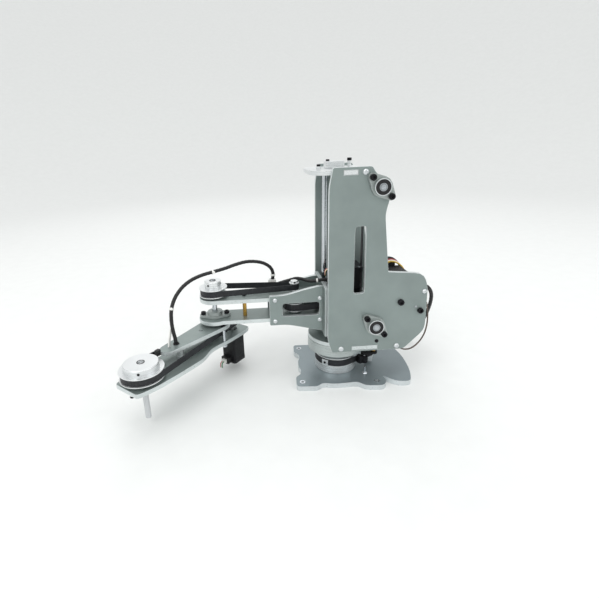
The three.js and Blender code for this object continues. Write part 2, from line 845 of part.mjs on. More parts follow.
// The black harness leaves the gland in the rear cross plate, drops to the table and turns in behind.
const HARNESS = [
  [-119.3, 0, 134.5],
  [-128, -0.2, 136.6],
  [-137, -0.8, 137.6],
  [-145.5, -2.2, 135.5],
  [-153, -5, 128.5],
  [-158.8, -10, 117.5],
  [-162.3, -17, 103.5],
  [-163.8, -25, 87.5],
  [-163.8, -34, 70],
  [-162, -43, 53],
  [-157.5, -57, 34],
  [-151.5, -72, 18.5],
  [-144.5, -86.5, 8.8],
  [-136.5, -100, 4.4],
  [-129.5, -112.5, 3.3],
  [-123.5, -123, 3.3],
  [-119.4, -133, 3.3],
];
// A thin cable makes a loop behind the column's lower rear corner.
const THIN_CABLE = [
  [-107, 43, 137.2],
  [-113.5, 44.6, 138],
  [-119.8, 46, 136.4],
  [-124.3, 47, 128.5],
  [-126.8, 47.2, 117],
  [-128, 47.2, 104],
  [-127.7, 47, 91],
  [-125, 47, 78],
  [-119.5, 46.6, 66.5],
  [-112, 46, 57.5],
  [-104, 44.5, 52.2],
  [-96, 41.5, 51],
  [-89, 37.5, 54.5],
  [-86, 34.5, 61.4],
];
const COIL = { x: -76, y: -132, midR: 33, halfWidth: 6.3, height: 12 };
const PLUG = { x: -95.5, y: -79, halfLength: 11, halfWidth: 8, height: 9, turnDeg: 150 };

function cables() {
  add("arm_cable", cord(ARM_CABLE, 5.5, 24, 10), "cable");
  add("rear_harness", cord(HARNESS, 6, 22, 10), "cable");
  add("thin_cable", cord(THIN_CABLE, 2.2, 30, 8), "thin_cable");
  const { x, y, midR, halfWidth, height } = COIL;
  const section = [
    [midR + halfWidth, 0.1],
    [midR + halfWidth, height],
  ];
  add("harness_coil", along([x, y], bored(section, midR - halfWidth, 24)), "cable");
  const end = PLUG;
  const outline = rounded(box2d(-end.halfLength, end.halfLength, -end.halfWidth, end.halfWidth, 1.5));
  const plug = slab(outline, [0.1, end.height]).rotateZ((end.turnDeg * Math.PI) / 180);
  add("harness_plug", along([end.x, end.y], plug), "black");
}

base();
turntable();
bottomPlate();
sidePlates();
topPlate();
columnBars();
bearings();
liftDrive();
turnDrive();
carriage();
upperArm();
elbowDrive();
forearmFrame();
elbowShaft();
wristDrive();
wrist();
cables();

export default arm;
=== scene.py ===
# Looks of the desktop robot arm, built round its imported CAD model. Metres, in the model's own frame.
import math

import bmesh
import bpy
from mathutils import Matrix, Vector


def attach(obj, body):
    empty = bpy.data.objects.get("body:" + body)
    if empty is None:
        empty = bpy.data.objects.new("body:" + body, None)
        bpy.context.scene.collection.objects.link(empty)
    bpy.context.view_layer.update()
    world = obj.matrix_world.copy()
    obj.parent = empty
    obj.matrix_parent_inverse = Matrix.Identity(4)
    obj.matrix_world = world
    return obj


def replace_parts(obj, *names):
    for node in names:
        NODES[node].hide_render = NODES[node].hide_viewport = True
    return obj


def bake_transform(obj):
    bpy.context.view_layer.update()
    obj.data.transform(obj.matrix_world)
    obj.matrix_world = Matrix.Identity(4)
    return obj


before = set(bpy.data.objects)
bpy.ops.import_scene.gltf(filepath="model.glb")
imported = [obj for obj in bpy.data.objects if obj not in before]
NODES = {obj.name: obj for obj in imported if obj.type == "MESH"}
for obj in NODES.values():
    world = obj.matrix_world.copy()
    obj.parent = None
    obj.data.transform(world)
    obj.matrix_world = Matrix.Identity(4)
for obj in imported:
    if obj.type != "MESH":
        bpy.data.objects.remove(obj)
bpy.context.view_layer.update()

MM = 0.001
X, Y, Z = Vector((1, 0, 0)), Vector((0, 1, 0)), Vector((0, 0, 1))
SHARP = math.radians(36)

# places shared with the CAD, in millimetres
HALF_OUT = 55.0
LIFT_X = -45.3
LIFT_Z = (101.3, 302.3)
ELBOW_X = 191.4
FOREARM_TURN = math.radians(50.4)
REACH = 145.0
BASE_TURN = math.radians(-4.8)
PIECE_GAP = 0.3
LARGE_MOTOR_HALF = 21.15
LARGE_MOTOR_LENGTH = 40.0
TURN_MOTOR_LENGTH = 21.5
SMALL_MOTOR_HALF = 14.1
SMALL_MOTOR_LENGTH = 50.7
LIFT_MOTOR_FACE = (-86, -8.7, 150)
TURN_MOTOR_FACE = (-56, 0, 68.3)
ELBOW_MOTOR_FACE = (-15, 0, 140.3)
WRIST_MOTOR_U = -37
WRIST_MOTOR_TOP = 63.7


def forearm_point(u, w, z):
    """A place given along (u) and across (w) the forearm at rest."""
    c, s = math.cos(FOREARM_TURN), math.sin(FOREARM_TURN)
    return Vector((ELBOW_X + u * c - w * s, u * s + w * c, z))


def forearm_offset(u, w=0.0):
    """A step along and across the forearm at rest."""
    return forearm_point(u, w, 0) - forearm_point(0, 0, 0)


def base_point(x, y, z):
    """A place given along the base plate's own axes."""
    c, s = math.cos(BASE_TURN), math.sin(BASE_TURN)
    return Vector((x * c - y * s, x * s + y * c, z))


# ---- camera ----


def make_camera():
    data = bpy.data.cameras.new("camera")
    camera = bpy.data.objects.new("camera", data)
    bpy.context.scene.collection.objects.link(camera)
    data.sensor_width = 36.0
    data.lens = 24.15
    data.shift_x = 0.0626
    data.shift_y = -0.0467
    data.clip_start = 0.02
    data.clip_end = 50.0
    yaw, pitch, roll = (math.radians(a) for a in (-2.22, 17.81, 2.49))
    ahead = Vector((math.sin(yaw) * math.cos(pitch), -math.cos(yaw) * math.cos(pitch), -math.sin(pitch)))
    right = ahead.cross(Z).normalized()
    up = right.cross(ahead)
    turned_right = right * math.cos(roll) - up * math.sin(roll)
    turned_up = right * math.sin(roll) + up * math.cos(roll)
    pose = Matrix((turned_right, turned_up, -ahead)).transposed().to_4x4()
    pose.translation = (0.1376, 0.5854, 0.3648)
    camera.matrix_world = pose
    bpy.context.scene.camera = camera


make_camera()


# ---- materials ----


def shade(rgb):
    """A screen colour, 0 to 255, as the linear values that a shader takes."""
    return tuple((c / 255.0) ** 2.2 for c in rgb) + (1.0,)


def material(name, rgb, rough, metallic=0.0, grain=900.0, bump=0.15, tint=0.10, spread=0.10, **inputs):
    """Fine grain in bump and roughness, with soft clouds of colour over it."""
    made = bpy.data.materials.new(name)
    made.use_nodes = True
    nodes, links = made.node_tree.nodes, made.node_tree.links
    shader = nodes["Principled BSDF"]
    shader.inputs["Metallic"].default_value = metallic
    for socket, value in inputs.items():
        shader.inputs[socket.replace("_", " ")].default_value = value
    place = nodes.new("ShaderNodeTexCoord")
    mapping = nodes.new("ShaderNodeMapping")
    mapping.inputs["Scale"].default_value = grain if isinstance(grain, tuple) else (grain,) * 3
    links.new(place.outputs["Object"], mapping.inputs["Vector"])
    fine = nodes.new("ShaderNodeTexNoise")
    fine.inputs["Scale"].default_value = 1.0
    fine.inputs["Detail"].default_value = 4.0
    links.new(mapping.outputs["Vector"], fine.inputs["Vector"])
    cloud = nodes.new("ShaderNodeTexNoise")
    cloud.inputs["Scale"].default_value = 30.0
    cloud.inputs["Detail"].default_value = 3.0
    links.new(place.outputs["Object"], cloud.inputs["Vector"])
    both = nodes.new("ShaderNodeMath")
    both.operation = "MULTIPLY_ADD"
    both.inputs[1].default_value = 0.35
    links.new(fine.outputs["Fac"], both.inputs[0])
    links.new(cloud.outputs["Fac"], both.inputs[2])
    ramp = nodes.new("ShaderNodeValToRGB")
    base = shade(rgb)
    ramp.color_ramp.elements[0].position = 0.42
    ramp.color_ramp.elements[0].color = tuple(c * (1 - tint) for c in base[:3]) + (1.0,)
    ramp.color_ramp.elements[1].position = 0.92
    ramp.color_ramp.elements[1].color = tuple(min(1.0, c * (1 + tint)) for c in base[:3]) + (1.0,)
    links.new(both.outputs["Value"], ramp.inputs["Fac"])
    links.new(ramp.outputs["Color"], shader.inputs["Base Color"])
    gloss = nodes.new("ShaderNodeMapRange")
    gloss.inputs["From Min"].default_value = 0.3
    gloss.inputs["From Max"].default_value = 0.7
    gloss.inputs["To Min"].default_value = max(0.04, rough - spread)
    gloss.inputs["To Max"].default_value = min(1.0, rough + spread)
    links.new(fine.outputs["Fac"], gloss.inputs["Value"])
    links.new(gloss.outputs["Result"], shader.inputs["Roughness"])
    relief = nodes.new("ShaderNodeBump")
    relief.inputs["Strength"].default_value = bump
    relief.inputs["Distance"].default_value = 0.0004
    links.new(fine.outputs["Fac"], relief.inputs["Height"])
    links.new(relief.outputs["Normal"], shader.inputs["Normal"])
    return made


def ribbed(name, rgb, rough, pitch, turn=(0.0, 0.0, 0.0), depth=0.0003, **inputs):
    """The same, with ribs of that pitch in metres along the mapping's turned X axis."""
    made = material(name, rgb, rough, **inputs)
    nodes, links = made.node_tree.nodes, made.node_tree.links
    place = nodes["Texture Coordinate"]
    mapping = nodes.new("ShaderNodeMapping")
    mapping.inputs["Rotation"].default_value = turn
    links.new(place.outputs["Object"], mapping.inputs["Vector"])
    wave = nodes.new("ShaderNodeTexWave")
    wave.wave_type = "BANDS"
    wave.bands_direction = "X"
    wave.inputs["Scale"].default_value = 0.314 / pitch
    wave.inputs["Distortion"].default_value = 0.0
    links.new(mapping.outputs["Vector"], wave.inputs["Vector"])
    ribs = nodes.new("ShaderNodeBump")
    ribs.inputs["Strength"].default_value = 0.6
    ribs.inputs["Distance"].default_value = depth
    links.new(wave.outputs["Fac"], ribs.inputs["Height"])
    links.new(nodes["Bump"].outputs["Normal"], ribs.inputs["Normal"])
    links.new(ribs.outputs["Normal"], nodes["Principled BSDF"].inputs["Normal"])
    return made


UPRIGHT = (14.0, 14.0, 2400.0)
ALONG_Y = (14.0, 2400.0, 14.0)
plate_face = material("plate_anodised", (134, 145, 143), 0.40, 0.45, grain=1500.0, bump=0.08, tint=0.07)
plate_edge = material("plate_cut_edge", (206, 213, 213), 0.36, 0.6, grain=(300.0, 300.0, 900.0), bump=0.06)
base_face = material("base_anodised", (134, 145, 149), 0.38, 0.45, grain=1500.0, bump=0.08, tint=0.08)
base_edge = material("base_cut_edge", (208, 214, 216), 0.36, 0.6, grain=(300.0, 300.0, 900.0), bump=0.06)
drum_face = material("drum_turned", (176, 184, 183), 0.34, 0.6, grain=UPRIGHT, bump=0.06, tint=0.06)
silver = material("machined_silver", (222, 225, 226), 0.32, 0.7, grain=UPRIGHT, bump=0.07, tint=0.05)
spindle_face = material("spindle_satin", (200, 203, 205), 0.45, 0.3, grain=900.0, bump=0.05, tint=0.05)
silver_y = material("machined_silver_level", (218, 222, 224), 0.32, 0.7, grain=ALONG_Y, bump=0.07, tint=0.05)
steel = material("ground_steel", (200, 205, 209), 0.2, 1.0, grain=UPRIGHT, bump=0.05, tint=0.06)
steel_y = material("ground_steel_level", (176, 181, 185), 0.24, 1.0, grain=ALONG_Y, bump=0.05, tint=0.06)
cast = material("bearing_cast", (164, 171, 169), 0.46, 0.6, grain=2200.0, bump=0.25, tint=0.10)
brass = material("turned_brass", (205, 160, 84), 0.28, 1.0, grain=UPRIGHT, bump=0.15, tint=0.12)
black_metal = material("black_oxide", (34, 34, 37), 0.36, 0.7, grain=1800.0, bump=0.2, tint=0.25)
motor_cap = material("motor_end_cap", (30, 31, 34), 0.42, 0.5, grain=1600.0, bump=0.3, tint=0.2)
black_plastic = material("black_plastic", (24, 24, 26), 0.5, grain=2600.0, bump=0.3, tint=0.25)
seal = material("bearing_seal", (18, 18, 20), 0.6, grain=2600.0, bump=0.3, tint=0.25)
sleeve = material("cable_sleeve", (21, 21, 23), 0.5, grain=1900.0, bump=0.45, tint=0.3)
white_plastic = material("white_plastic", (232, 232, 228), 0.45, grain=1800.0, bump=0.15, tint=0.04)
grey_wire = material("grey_wire", (176, 178, 176), 0.45, grain=1800.0, bump=0.15, tint=0.06)
brown_wire = material("brown_wire", (92, 80, 72), 0.48, grain=1800.0, bump=0.2, tint=0.15)
red_wire = material("red_wire", (176, 44, 36), 0.42, grain=1800.0, bump=0.15, tint=0.1)
yellow_wire = material("yellow_wire", (206, 172, 66), 0.42, grain=1800.0, bump=0.15, tint=0.1)
green_wire = material("green_wire", (58, 128, 86), 0.42, grain=1800.0, bump=0.15, tint=0.1)


def motor_stack(name, turn):
    return ribbed(name, (25, 26, 29), 0.5, 0.001, turn, 0.0004, metallic=0.4, grain=1500.0, tint=0.2)


HALF_PI = math.pi / 2
stack_upright = motor_stack("motor_stack_upright", (0.0, HALF_PI, 0.0))
stack_level = motor_stack("motor_stack_level", (0.0, 0.0, HALF_PI))


def belt_material(name, turn):
    return ribbed(name, (33, 35, 39), 0.58, 0.002, turn, 0.0005, grain=2400.0, bump=0.3, tint=0.25)


belt_x = belt_material("belt_along_arm", (0.0, 0.0, 0.0))
belt_z = belt_material("belt_upright", (0.0, HALF_PI, 0.0))
belt_drive = belt_material("belt_lift_drive", (0.0, math.radians(-50.1), 0.0))
belt_forearm = belt_material("belt_forearm", (0.0, 0.0, -FOREARM_TURN))


# ---- finishing the CAD nodes ----


def dress(name, *materials, edge_axis=None, bevel=0.35):
    """Smooth shading, softened edges and a material for a CAD node.

    Faces that run along edge_axis take the second material.
    """
    node = NODES[name]
    mesh = node.data
    if "custom_normal" in mesh.attributes:
        mesh.attributes.remove(mesh.attributes["custom_normal"])
    mesh.materials.clear()
    for each in materials:
        mesh.materials.append(each)
    for face in mesh.polygons:
        face.use_smooth = True
        face.material_index = 0
        if edge_axis is not None and abs(face.normal.dot(edge_axis)) < 0.5:
            face.material_index = 1
    weld = node.modifiers.new("weld", "WELD")
    weld.merge_threshold = 0.00001
    flat = node.modifiers.new("flat", "DECIMATE")
    flat.decimate_type = "DISSOLVE"
    flat.angle_limit = math.radians(0.6)
    flat.delimit = {"MATERIAL"}
    edge = node.modifiers.new("edge", "BEVEL")
    edge.width = bevel * MM
    edge.segments = 2
    edge.limit_method = "ANGLE"
    edge.angle_limit = SHARP
    if edge_axis is not None:
        edge.material = 1
    node.modifiers.new("shading", "WEIGHTED_NORMAL").keep_sharp = True


U_AXIS = forearm_point(1, 0, 0) - forearm_point(0, 0, 0)


def dress_all():
    for name in ("near_side_plate", "far_side_plate"):
        dress(name, plate_face, plate_edge, edge_axis=Y, bevel=0.4)
    for name in ("arm_side_near", "arm_side_far"):
        dress(name, plate_face, plate_edge, edge_axis=Y)
    for name in ("rear_cross_plate", "carriage_plate"):
        dress(name, plate_face, plate_edge, edge_axis=X)
    level = ("column_bottom_plate", "arm_bottom_plate", "arm_top_plate")
    for name in (*level, "forearm_top_plate", "forearm_bottom_plate"):
        dress(name, plate_face, plate_edge, edge_axis=Z)
    dress("base_plate", base_face, base_edge, edge_axis=Z, bevel=0.6)
    dress("turntable_drum", drum_face, bevel=0.6)
    upright = ("ring_pulley", "turn_pinion", "elbow_motor_pinion", "middle_shaft", "middle_pulley")
    more = ("elbow_pulley", "wrist_motor_pinion", "wrist_pulley", "forearm_tip_post")
    for name in (*upright, *more, "column_top_plate", "top_block", "lift_belt_clamp"):
        dress(name, silver, bevel=0.3)
    for name in ("linear_bearing_near", "linear_bearing_far"):
        dress(name, silver)
    dress("wrist_spindle", spindle_face, bevel=0.3)
    for name in ("rear_cross_bar", "lift_motor_pinion", "lift_wheel"):
        dress(name, silver_y, bevel=0.3)
    for name in ("turntable_post", "guide_rod_near", "guide_rod_far", "elbow_shaft"):
        dress(name, steel, bevel=0.3)
    for name in ("lower_lift_shaft", "upper_lift_shaft"):
        dress(name, steel_y, bevel=0.3)
    for name in ("lower_lift_bearing", "upper_lift_bearing", "elbow_bearing_lower", "wrist_bearing"):
        dress(name, cast, bevel=0.5)
    dress("arm_standoff", brass, bevel=0.3)
    for name in ("turn_idler", "idler_bracket"):
        dress(name, black_metal, bevel=0.3)
    dress("harness_plug", black_plastic, bevel=0.6)
    dress("lift_belt", belt_z, bevel=0.15)
    dress("lift_drive_belt", belt_drive, bevel=0.15)
    dress("wrist_belt", belt_forearm, bevel=0.15)
    for name in ("turn_belt", "first_elbow_belt", "second_elbow_belt"):
        dress(name, belt_x, bevel=0.15)


dress_all()


# ---- mesh tools ----


def axes(axis, ref):
    """Two directions across an axis, the first as near ref as it can be, and the axis."""
    w = Vector(axis).normalized()
    u = Vector(ref) - w * w.dot(Vector(ref))
    u.normalize()
    return u, w.cross(u), w


def spline(points, per=10):
    """Points on the centripetal Catmull-Rom curve through the given ones."""
    p = [Vector(q) for q in points]
    p = [p[0] * 2 - p[1], *p, p[-1] * 2 - p[-2]]
    out = []
    for i in range(1, len(p) - 2):
        a, b, c, d = p[i - 1 : i + 3]
        t0 = 0.0
        t1 = t0 + (b - a).length ** 0.5
        t2 = t1 + (c - b).length ** 0.5
        t3 = t2 + (d - c).length ** 0.5
        for k in range(per):
            t = t1 + (t2 - t1) * k / per
            ab = a * ((t1 - t) / (t1 - t0)) + b * ((t - t0) / (t1 - t0))
            bc = b * ((t2 - t) / (t2 - t1)) + c * ((t - t1) / (t2 - t1))
            cd = c * ((t3 - t) / (t3 - t2)) + d * ((t - t2) / (t3 - t2))
            abc = ab * ((t2 - t) / (t2 - t0)) + bc * ((t - t0) / (t2 - t0))
            bcd = bc * ((t3 - t) / (t3 - t1)) + cd * ((t - t1) / (t3 - t1))
            out.append(abc * ((t2 - t) / (t2 - t1)) + bcd * ((t - t1) / (t2 - t1)))
    out.append(p[-2])
    return out


def length_of(points):
    return sum((b - a).length for a, b in zip(points, points[1:]))


def even(points, step):
    """The same line with points about step apart."""
    total = length_of(points)
    count = max(2, round(total / step))
    out, i, done = [points[0]], 0, 0.0
    for k in range(1, count):
        want = total * k / count
        while done + (points[i + 1] - points[i]).length < want:
            done += (points[i + 1] - points[i]).length
            i += 1
        part = (want - done) / (points[i + 1] - points[i]).length
        out.append(points[i].lerp(points[i + 1], part))
    return [*out, points[-1]]


def rounded_box(hx, hy, r, steps=3):
    out = []
    for k, (sx, sy) in enumerate(((1, 1), (-1, 1), (-1, -1), (1, -1))):
        for i in range(steps + 1):
            a = HALF_PI * (k + i / steps)
            out.append((sx * (hx - r) + r * math.cos(a), sy * (hy - r) + r * math.sin(a)))
    return out


class Piece:
    """Shapes of several materials gathered into one object. Sizes and places are in millimetres."""

    def __init__(self, name, *materials):
        self.name = name
        self.materials = materials
        self.bm = bmesh.new()

    def rings(self, rings, mat, closed_ends=True):
        """Skins rows of points, each a closed ring; a row of one point closes to that point."""
        rows = [[self.bm.verts.new(Vector(p) * MM) for p in ring] for ring in rings]
        for low, high in zip(rows, rows[1:]):
            n = max(len(low), len(high))
            for i in range(n):
                j = (i + 1) % n
                if len(low) == 1:
                    corners = (low[0], high[i], high[j])
                elif len(high) == 1:
                    corners = (low[i], high[0], low[j])
                else:
                    corners = (low[i], high[i], high[j], low[j])
                self.face(corners, mat)
        for row in (rows[0], rows[-1]):
            if closed_ends and len(row) > 2:
                self.face(row, mat)
        return self

    def face(self, verts, mat):
        made = self.bm.faces.new(verts)
        made.material_index = mat
        made.smooth = True

    def lathe(self, profile, at, axis=Z, ref=X, steps=28, mat=0):
        """Turns (radius, height) steps round an axis. A third value of 6 makes that step a hexagon."""
        u, v, w = axes(axis, ref)
        at = Vector(at)
        rows = []
        for radius, height, *sides in profile:
            centre = at + w * height
            if radius < 1e-6:
                rows.append([centre])
                continue
            row = []
            for i in range(steps):
                a = 2 * math.pi * i / steps
                r = radius
                if sides:
                    part = 2 * math.pi / sides[0]
                    r = radius / math.cos((a % part) - part / 2)
                row.append(centre + (u * math.cos(a) + v * math.sin(a)) * r)
            rows.append(row)
        return self.rings(rows, mat)

    def prism(self, outline, h0, h1, at=(0, 0, 0), axis=Z, ref=X, mat=0):
        u, v, w = axes(axis, ref)
        at = Vector(at)
        return self.rings([[at + u * a + v * b + w * h for a, b in outline] for h in (h0, h1)], mat)

    def tube(self, points, radius, sides=10, mat=0, wrap=0.0, groove=0.0):
        """A tube along points; wrap is the pitch of a spiral groove cut into it."""
        rows, side, run = [], None, 0.0
        for i, p in enumerate(points):
            ahead = (points[min(i + 1, len(points) - 1)] - points[max(i - 1, 0)]).normalized()
            if side is None:
                side = axes(ahead, X if abs(ahead.x) < 0.8 else Y)[0]
            side = (side - ahead * ahead.dot(side)).normalized()
            other = ahead.cross(side)
            if i:
                run += (p - points[i - 1]).length
            row = []
            for k in range(sides):
                a = 2 * math.pi * k / sides
                r = radius
                if wrap:
                    turn = (run / wrap + k / sides) % 1.0
                    r -= groove * max(0.0, 1.0 - abs(turn - 0.5) / 0.14)
                row.append(p + (side * math.cos(a) + other * math.sin(a)) * r)
            rows.append(row)
        return self.rings(rows, mat)

    def cap_screw(self, at, axis=Z, r=4.3, h=4.2, mat=0):
        k = r * 0.5
        profile = [(0, h * 0.4), (k, h * 0.4, 6), (k, h, 6), (r - 0.45, h), (r, h - 0.45), (r, 0), (0, 0)]
        return self.lathe(profile, at, axis, Z if abs(Vector(axis).z) < 0.9 else X, 24, mat)

    def button_screw(self, at, axis=Z, r=3.8, h=2.1, mat=0):
        k = r * 0.46
        profile = [(0, h * 0.35), (k, h * 0.35, 6), (k, h, 6), (r * 0.72, h * 0.86)]
        profile += [(r * 0.92, h * 0.5), (r, h * 0.15), (r, 0), (0, 0)]
        return self.lathe(profile, at, axis, Z if abs(Vector(axis).z) < 0.9 else X, 24, mat)

    def washer(self, r0, r1, h0, h1, at, axis=Z, mat=0):
        """A flat ring; its section closes on itself."""
        profile = [(r0, h0), (r1, h0), (r1, h1), (r0, h1), (r0, h0)]
        u, v, w = axes(axis, Z if abs(Vector(axis).z) < 0.9 else X)
        rows = []
        for i in range(33):
            a = 2 * math.pi * (i % 32) / 32
            out = u * math.cos(a) + v * math.sin(a)
            rows.append([Vector(at) + out * r + w * h for r, h in profile[:-1]])
        return self.rings(rows, mat, closed_ends=False)

    def done(self, body=None, slot=None, bevel=0.2):
        bmesh.ops.remove_doubles(self.bm, verts=self.bm.verts, dist=1e-7)
        bmesh.ops.recalc_face_normals(self.bm, faces=self.bm.faces)
        mesh = bpy.data.meshes.new(self.name)
        self.bm.to_mesh(mesh)
        self.bm.free()
        for each in self.materials:
            mesh.materials.append(each)
        mesh.set_sharp_from_angle(angle=SHARP)
        piece = bpy.data.objects.new(self.name, mesh)
        bpy.context.scene.collection.objects.link(piece)
        if bevel:
            edge = piece.modifiers.new("edge", "BEVEL")
            edge.width = bevel * MM
            edge.segments = 2
            edge.limit_method = "ANGLE"
            edge.angle_limit = SHARP
            piece.modifiers.new("shading", "WEIGHTED_NORMAL").keep_sharp = True
        if body:
            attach(piece, body)
        return piece


# ---- cords ----

ARM_CABLE = [
    (97.5, -25, 154.3), (96.5, -25.2, 164), (100, -26, 173), (109.5, -26.2, 180.5), (122, -25.2, 184.6),
    (138, -22, 186.3), (155, -16.5, 184.3), (172, -9, 181.2), (190, 0, 179.4), (207, 10, 178),
    (222, 20.5, 174.3), (234, 32, 167.5), (243, 44, 157), (247.6, 53, 144.5), (248.4, 59, 130.5),
    (247.3, 62.4, 116.5), (245.2, 64, 104), (244.43, 64.1, 95.3),
]
HARNESS = [
    (-119.3, 0, 134.5), (-128, -0.2, 136.6), (-137, -0.8, 137.6), (-145.5, -2.2, 135.5), (-153, -5, 128.5),
    (-158.8, -10, 117.5), (-162.3, -17, 103.5), (-163.8, -25, 87.5), (-163.8, -34, 70),
    (-162, -43, 53), (-157.5, -57, 34),
    (-151.5, -72, 18.5), (-144.5, -86.5, 8.8), (-136.5, -100, 4.4), (-129.5, -112.5, 3.3),
    (-123.5, -123, 3.3), (-119.4, -133, 3.3),
]
THIN_CABLE = [
    (-107, 43, 137.2), (-113.5, 44.6, 138), (-119.8, 46, 136.4), (-124.3, 47, 128.5), (-126.8, 47.2, 117),
    (-128, 47.2, 104), (-127.7, 47, 91), (-125, 47, 78), (-119.5, 46.6, 66.5), (-112, 46, 57.5),
    (-104, 44.5, 52.2), (-96, 41.5, 51), (-89, 37.5, 54.5), (-86, 34.5, 61.4),
]
COIL = Vector((-76, -132, 0))
PLUG_END = Vector((-85.7, -84.6, 4.5))
CABLE_D = 5.5
HARNESS_D = 6.0
THIN_D = 2.2


def smooth(t):
    t = min(1.0, max(0.0, t))
    return t * t * (3 - 2 * t)


def coil_points():
    """The harness's spare length, wound in two layers of two turns, ending towards its plug."""
    out = []
    for k in range(1, 300):
        turn = k / 66.0
        a = math.pi + 2 * math.pi * turn
        r = 43.4 - 7.2 * smooth(turn / 0.33)
        r -= 6.3 * smooth((turn - 0.85) / 0.3)
        r += 6.3 * smooth((turn - 2.85) / 0.3)
        z = 3.1 + 6.1 * smooth((turn - 1.85) / 0.3)
        if turn > 3.667:
            break
        out.append(COIL + Vector((r * math.cos(a), r * math.sin(a), z)))
    return out


def make_cords():
    cable = even(spline(ARM_CABLE), 1.0)
    piece = Piece("arm_cable_sleeve", sleeve).tube(cable, CABLE_D / 2, 14, 0, 6.0, 0.35)
    piece = piece.done(None, "cable", 0)
    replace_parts(piece, "arm_cable")
    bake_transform(piece)

    wound = coil_points()
    last = wound[-1]
    lead = [last.lerp(PLUG_END, 0.5) + Vector((-2.0, 3.0, 0.6)), PLUG_END]
    harness = even(spline([*HARNESS, *wound[6::6], *lead], 8), 1.0)
    piece = Piece("rear_harness_sleeve", sleeve).tube(harness, HARNESS_D / 2, 14, 0, 7.0, 0.35)
    piece = piece.done(None, "cable", 0)
    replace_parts(piece, "rear_harness", "harness_coil")
    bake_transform(piece)

    thin = even(spline(THIN_CABLE), 1.0)
    piece = Piece("thin_cable_lead", brown_wire).tube(thin, THIN_D / 2, 12).done("column", "thin_cable", 0)
    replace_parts(piece, "thin_cable")
    return cable


cable_line = make_cords()


# ---- motors ----


def motor(name, half, span, at, axis, ref, stack, corner=4.5):
    """A stepper motor: a laminated stack between two end caps, with screws in its back."""
    h0, h1 = span
    cap = 8.0 if half > 15 else 7.0
    outer = []
    for k in range(4):
        turn = Matrix.Rotation(HALF_PI * k, 2)
        for corner_at in ((half, -(half - corner)), (half, half - corner)):
            outer.append(tuple(turn @ Vector(corner_at)))
    inner = [(a * 0.985, b * 0.985) for a, b in outer]
    wires = (red_wire, yellow_wire, green_wire)
    piece = Piece(name, motor_cap, stack, steel, white_plastic, *wires, black_plastic)
    u, v, w = axes(axis, ref)
    at = Vector(at)
    piece.prism(outer, h0, h0 + cap, at, axis, ref)
    piece.prism(inner, h0 + cap, h1 - cap, at, axis, ref, mat=1)
    piece.prism(outer, h1 - cap, h1, at, axis, ref)
    bolt = half * 0.74
    for a, b in ((1, 1), (-1, 1), (-1, -1), (1, -1)):
        foot = at + u * (a * bolt) + v * (b * bolt) + w * h0
        head = [(0, 1.2), (1.9, 1.2), (2.4, 0.25), (2.4, -0.9), (0, -0.9)]
        piece.lathe(head, foot + w * 1.1, w * -1, mat=2)
    piece.lathe([(4.2, 0.1), (4.2, -0.35), (3.2, -0.5), (0, -0.5)], at + w * h0, w, mat=2)
    return piece


def connector(piece, at, out, across, up, colours, width=11.0):
    """A white socket with its wires, standing out of a motor's side."""
    piece.prism(rounded_box(width / 2, 3.0, 0.5), 0, 6.5, at, out, across, mat=3)
    for k, colour in enumerate(colours):
        along = across * ((k - (len(colours) - 1) / 2) * (width - 3) / len(colours))
        start = at + along + out * 6.0
        lead = [start, start + out * 3.0, start + out * 5.0 + up * 3.0, start + out * 5.2 + up * 9.0]
        piece.tube(even(spline(lead), 0.8), 0.75, 8, mat=colour)


def make_motors():
    piece = motor(
        "lift_motor_body", LARGE_MOTOR_HALF, (-LARGE_MOTOR_LENGTH, 0.0),
        LIFT_MOTOR_FACE, -Y, X, stack_level)
    top = Vector((-88, -14.5, 150 + 20.9))
    piece.prism(rounded_box(7.5, 5.5, 0.8), 0, 6.0, top, Z, X, mat=7)
    for k, colour in enumerate((7, 7, 4, 3, 5)):
        lift = 12.0 - 1.2 * k
        side = -20.5 + 3.0 * k
        arch = [(-79, side, 171.5), (-85, side, 173 + lift * 0.6), (-93.5, side, 172 + lift * 0.7),
                (-102, side, 170.5 + lift * 0.3), (-107.8 - 0.3 * k, side, 164.5),
                (-109 - 0.3 * k, side, 156)]
        piece.tube(even(spline(arch), 1.0), 1.3, 10, mat=colour)
    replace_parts(piece.done("column", "motor", 0.4), "lift_motor")

    piece = motor(
        "turn_motor_body", LARGE_MOTOR_HALF, (-TURN_MOTOR_LENGTH, 0.0),
        TURN_MOTOR_FACE, -Z, X, stack_upright)
    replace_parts(piece.done("column", "motor", 0.4), "turn_motor")

    piece = motor(
        "elbow_motor_body", LARGE_MOTOR_HALF, (-LARGE_MOTOR_LENGTH, 0.0),
        ELBOW_MOTOR_FACE, -Z, X, stack_upright)
    socket = Vector((ELBOW_MOTOR_FACE[0] + 20.9, 0, 173.0))
    connector(piece, socket, X, Y, -Z, (4, 3, 5, 7), 12.0)
    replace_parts(piece.done("carriage", "motor", 0.4), "elbow_motor")

    foot = forearm_point(WRIST_MOTOR_U, 0, WRIST_MOTOR_TOP - SMALL_MOTOR_LENGTH)
    piece = motor(
        "wrist_motor_body", SMALL_MOTOR_HALF, (0.0, SMALL_MOTOR_LENGTH),
        foot, Z, U_AXIS, stack_upright, 2.5)
    side = Z.cross(U_AXIS)
    block_foot = forearm_point(WRIST_MOTOR_U + 13.9, 0, 20.5)
    piece.prism(rounded_box(7.5, 5.5, 1.0), 0, 9.5, block_foot, U_AXIS, side, mat=7)
    connector(piece, forearm_point(WRIST_MOTOR_U + 21.5, 0, 20.5), U_AXIS, side, Z * -1, (4, 3, 6), 8.0)
    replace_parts(piece.done("forearm", "motor", 0.3), "wrist_motor")


make_motors()


# ---- bearings ----


